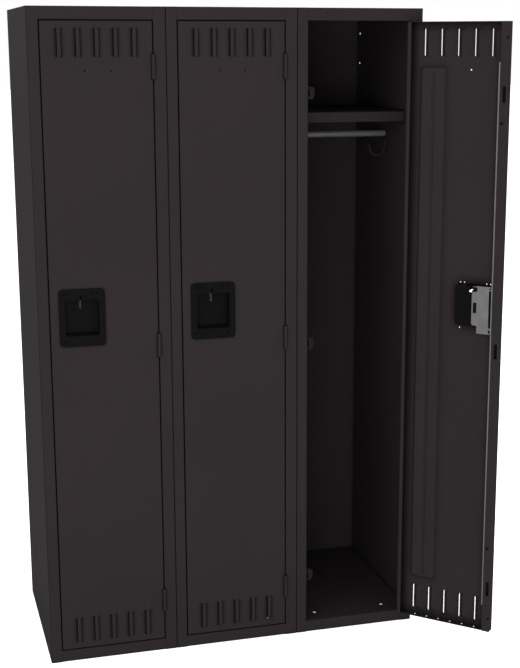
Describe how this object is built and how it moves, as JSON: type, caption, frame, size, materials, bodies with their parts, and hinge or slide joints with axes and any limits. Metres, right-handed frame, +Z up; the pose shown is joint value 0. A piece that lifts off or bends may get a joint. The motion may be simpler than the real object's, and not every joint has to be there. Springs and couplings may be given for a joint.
{
  "type": "locker cabinet",
  "caption": "Single-tier steel locker cabinet in dark powder coat, with louvred hinged doors, recessed handle cups and gravity latches; the right locker stands open.",
  "frame": {"origin": "at floor level on the underside of the front bottom rail, in the middle of the cabinet's width and of the rail's 16 mm return", "axes": "+Z up the cabinet, -Y out of the door fronts, +X to the right of someone facing the doors"},
  "size_m": [1.0592, 0.6484, 1.524],
  "materials": {
    "door_paint": "satin",
    "body_paint": "satin",
    "hinge_paint": "satin",
    "zinc_plate": "satin",
    "cup_plastic": "textured",
    "guide_nylon": "matte",
    "silencer_rubber": "matte"
  },
  "bodies": {
    "cabinet": {"side_sheet_left": "body_paint", "divider_left": "body_paint", "divider_right": "body_paint", "side_sheet_right": "body_paint", "silencers": "silencer_rubber", "joining_bolts": "zinc_plate", "frame_left": "body_paint", "back_left": "body_paint", "top_left": "body_paint", "bottom_left": "body_paint", "hat_shelf_left": "body_paint", "coat_rod_left": "zinc_plate", "wall_hooks_left": "body_paint", "frame_hooks_left": "body_paint", "frame_leaves_left": "hinge_paint", "hinge_pins_left": "hinge_paint", "frame_middle": "body_paint", "back_middle": "body_paint", "top_middle": "body_paint", "bottom_middle": "body_paint", "hat_shelf_middle": "body_paint", "coat_rod_middle": "zinc_plate", "wall_hooks_middle": "body_paint", "frame_hooks_middle": "body_paint", "frame_leaves_middle": "hinge_paint", "hinge_pins_middle": "hinge_paint", "frame_right": "body_paint", "back_right": "body_paint", "top_right": "body_paint", "bottom_right": "body_paint", "hat_shelf_right": "body_paint", "coat_rod_right": "zinc_plate", "wall_hooks_right": "body_paint", "frame_hooks_right": "body_paint", "frame_leaves_right": "hinge_paint", "hinge_pins_right": "hinge_paint"},
    "door_left_body": {"door_left": "door_paint", "stiffener_left": "door_paint", "handle_cup_left": "cup_plastic", "door_leaves_left": "hinge_paint", "bar_guides_left": "guide_nylon"},
    "latch_left_body": {"lock_bar_left": "zinc_plate", "lift_bracket_left": "zinc_plate"},
    "door_middle_body": {"door_middle": "door_paint", "stiffener_middle": "door_paint", "handle_cup_middle": "cup_plastic", "door_leaves_middle": "hinge_paint", "bar_guides_middle": "guide_nylon"},
    "latch_middle_body": {"lock_bar_middle": "zinc_plate", "lift_bracket_middle": "zinc_plate"},
    "door_right_body": {"door_right": "door_paint", "stiffener_right": "door_paint", "handle_cup_right": "cup_plastic", "door_leaves_right": "hinge_paint", "bar_guides_right": "guide_nylon"},
    "latch_right_body": {"lock_bar_right": "zinc_plate", "lift_bracket_right": "zinc_plate"}
  },
  "joints": [
    {"name": "door_hinge_left", "type": "hinge", "parent": "cabinet", "child": "door_left_body", "pos_m": [-0.18147, -0.0085, 0.762], "axis": [0, 0, 1], "range_deg": [0, 165]},
    {"name": "latch_slide_left", "type": "slide", "parent": "door_left_body", "child": "latch_left_body", "axis": [0, 0, 1], "range_m": [0, 0.008]},
    {"name": "door_hinge_middle", "type": "hinge", "parent": "cabinet", "child": "door_middle_body", "pos_m": [0.12307, -0.0085, 0.762], "axis": [0, 0, 1], "range_deg": [0, 165]},
    {"name": "latch_slide_middle", "type": "slide", "parent": "door_middle_body", "child": "latch_middle_body", "axis": [0, 0, 1], "range_m": [0, 0.008]},
    {"name": "door_hinge_right", "type": "hinge", "parent": "cabinet", "child": "door_right_body", "pos_m": [0.4276, -0.0085, 0.762], "axis": [0, 0, 1], "range_deg": [-135, 30]},
    {"name": "latch_slide_right", "type": "slide", "parent": "door_right_body", "child": "latch_right_body", "axis": [0, 0, 1], "range_m": [0, 0.008]}
  ]
}
